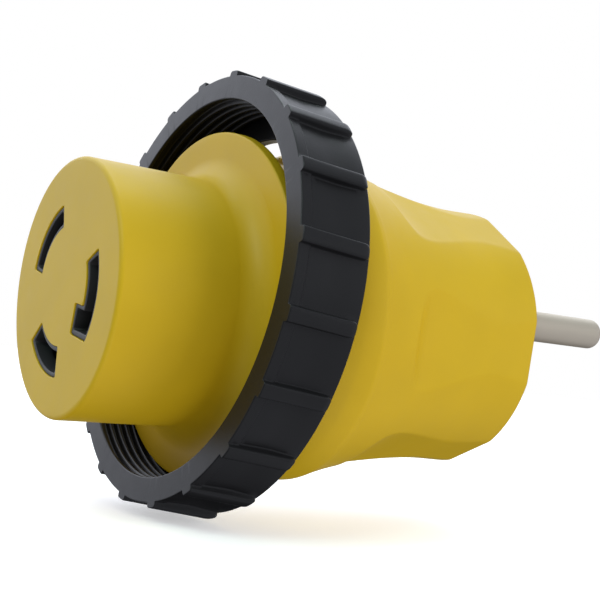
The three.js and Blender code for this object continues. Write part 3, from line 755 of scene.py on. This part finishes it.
def make_materials():
    """The materials by slot, each from its name, colour, roughness and how metallic it is."""
    return {
        "body_pvc": procedural("yellow pvc", (0.56, 0.365, 0.008), 0.46, specular=0.3,
                               mottle=0.03),
        "ring_nylon": procedural("black nylon", (0.0075, 0.0075, 0.0082), 0.36, specular=0.3,
                                 mottle=0.12),
        "core_nylon": procedural("core nylon", (0.022, 0.022, 0.023), 0.5, mottle=0.12),
        "mould_plastic": procedural("natural polypropylene", (0.62, 0.58, 0.50), 0.5),
        "contact_brass": procedural("contact brass", (0.62, 0.44, 0.18), 0.35, 1.0),
        "nickel_plate": procedural("nickel plate", (0.58, 0.52, 0.43), 0.5, 0.7, mottle=0.04,
                                   grain=0.000004, grain_scale=1500.0),
        "screw_steel": procedural("zinc plated steel", (0.55, 0.56, 0.58), 0.35, 1.0),
        "jacket_black": procedural("black wire jacket", (0.02, 0.02, 0.02), 0.45),
        "jacket_white": procedural("white wire jacket", (0.75, 0.74, 0.70), 0.45),
        "jacket_green": procedural("green wire jacket", (0.03, 0.26, 0.07), 0.45),
        "wire_copper": procedural("copper strand", (0.72, 0.33, 0.18), 0.35, 1.0),
    }


# ------------------------------------------------------------------ assembly


def assemble():
    """Puts each fine piece in its node's place and gives every node its slot's material."""
    materials = make_materials()
    pieces = [
        (make_body(), "adapter_body", "outer_body"),
        (make_ring(), "ring", "locking_ring"),
        (make_socket_core(), "adapter_body", "socket_core"),
        (make_pin(), "adapter_body", "ground_pin"),
        (make_blade("line_blade", -1), "adapter_body", "hot_blade"),
        (make_blade("return_blade", 1), "adapter_body", "neutral_blade"),
    ]
    slots = {part["node"]: part["material_slot"] for part in frame["record"]["subparts"]}
    for piece, body, node in pieces:
        piece.data.materials.append(materials[slots[node]])
        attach(piece, body)
        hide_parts(node)
    for name, node in frame["nodes"].items():
        node.data.materials.clear()
        node.data.materials.append(materials[slots[name]])


# ------------------------------------------------------------------ floor, light, camera


def make_floor():
    """A wide pale floor just under the lowest point of the object."""
    mesh = bpy.data.meshes.new("floor")
    corners = [(FLOOR_SIZE * a, FLOOR_SIZE * b, 0) for a, b in ((-1, -1), (1, -1), (1, 1), (-1, 1))]
    mesh.from_pydata(corners, [], [(0, 1, 2, 3)])
    floor = bpy.data.objects.new("floor", mesh)
    floor.location.z = cad_box[0].z - FLOOR_DROP
    material = bpy.data.materials.new("pale floor")
    material.use_nodes = True
    shader = material.node_tree.nodes["Principled BSDF"]
    shader.inputs["Base Color"].default_value = (*FLOOR_COLOUR, 1)
    shader.inputs["Roughness"].default_value = FLOOR_ROUGHNESS
    shader.inputs["Specular IOR Level"].default_value = 0.0
    shader.inputs["Emission Color"].default_value = (1, 1, 1, 1)
    shader.inputs["Emission Strength"].default_value = FLOOR_GLOW
    mesh.materials.append(material)
    bpy.context.scene.collection.objects.link(floor)
    floor.visible_diffuse = False
    floor.visible_glossy = False
    floor.visible_shadow = False


def make_lamp(name, place, size, power, colour, glossy):
    data = bpy.data.lights.new(name, "AREA")
    data.shape = "SQUARE"
    data.size = size
    data.energy = power
    data.color = colour
    lamp = bpy.data.objects.new(name, data)
    lamp.visible_glossy = glossy
    lamp.location = place
    lamp.rotation_mode = "QUATERNION"
    lamp.rotation_quaternion = (Vector(LAMP_AIM) - Vector(place)).to_track_quat("-Z", "Y")
    bpy.context.scene.collection.objects.link(lamp)


def make_world():
    """A white backdrop to look at; the light it gives comes in soft bands."""
    world = bpy.data.worlds.new("studio")
    world.use_nodes = True
    tree = world.node_tree
    background = tree.nodes["Background"]
    direction = tree.nodes.new("ShaderNodeTexCoord").outputs["Generated"]

    def band(axis, low, high, strength):
        """Brightness that rises from nothing as the direction turns towards an axis."""
        dot = tree.nodes.new("ShaderNodeVectorMath")
        dot.operation = "DOT_PRODUCT"
        dot.inputs[1].default_value = Vector(axis).normalized()
        tree.links.new(direction, dot.inputs[0])
        ease = tree.nodes.new("ShaderNodeMapRange")
        ease.interpolation_type = "SMOOTHSTEP"
        ease.inputs["From Min"].default_value = low
        ease.inputs["From Max"].default_value = high
        ease.inputs["To Min"].default_value = 0.0
        ease.inputs["To Max"].default_value = strength
        tree.links.new(dot.outputs["Value"], ease.inputs["Value"])
        return ease.outputs["Result"]

    glow, *others = [band(*values) for values in SKY_BANDS]
    for other in others:
        total = tree.nodes.new("ShaderNodeMath")
        total.operation = "ADD"
        tree.links.new(glow, total.inputs[0])
        tree.links.new(other, total.inputs[1])
        glow = total.outputs["Value"]

    seen = tree.nodes.new("ShaderNodeLightPath").outputs["Is Camera Ray"]
    mix = tree.nodes.new("ShaderNodeMix")
    mix.data_type = "FLOAT"
    mix.inputs["B"].default_value = 1.0
    tree.links.new(seen, mix.inputs["Factor"])
    tree.links.new(glow, mix.inputs["A"])
    tree.links.new(mix.outputs["Result"], background.inputs["Strength"])

    tint = tree.nodes.new("ShaderNodeMix")
    tint.data_type = "RGBA"
    tint.inputs["A"].default_value = (*SKY_COLOUR, 1)
    tint.inputs["B"].default_value = (1, 1, 1, 1)
    tree.links.new(seen, tint.inputs["Factor"])
    tree.links.new(tint.outputs["Result"], background.inputs["Color"])
    bpy.context.scene.world = world


def make_camera():
    """A camera low in front of the face and to its right, rolled a little."""
    back = Vector((math.sin(CAMERA_AZIMUTH) * math.cos(CAMERA_ELEVATION),
                   -math.cos(CAMERA_AZIMUTH) * math.cos(CAMERA_ELEVATION),
                   math.sin(CAMERA_ELEVATION)))
    data = bpy.data.cameras.new("camera")
    data.sensor_width = CAMERA_SENSOR
    data.lens = CAMERA_LENS
    data.clip_start, data.clip_end = CAMERA_CLIP
    camera = bpy.data.objects.new("camera", data)
    camera.location = CAMERA_PLACE
    camera.rotation_mode = "QUATERNION"
    level = (-back).to_track_quat("-Z", "Y")
    camera.rotation_quaternion = level @ Matrix.Rotation(CAMERA_ROLL, 3, "Z").to_quaternion()
    bpy.context.scene.collection.objects.link(camera)
    bpy.context.scene.camera = camera


def make_stage():
    make_floor()
    make_world()
    for values in LAMPS:
        make_lamp(*values)
    make_camera()
    bpy.context.scene.view_settings.view_transform = "Standard"


assemble()
make_stage()
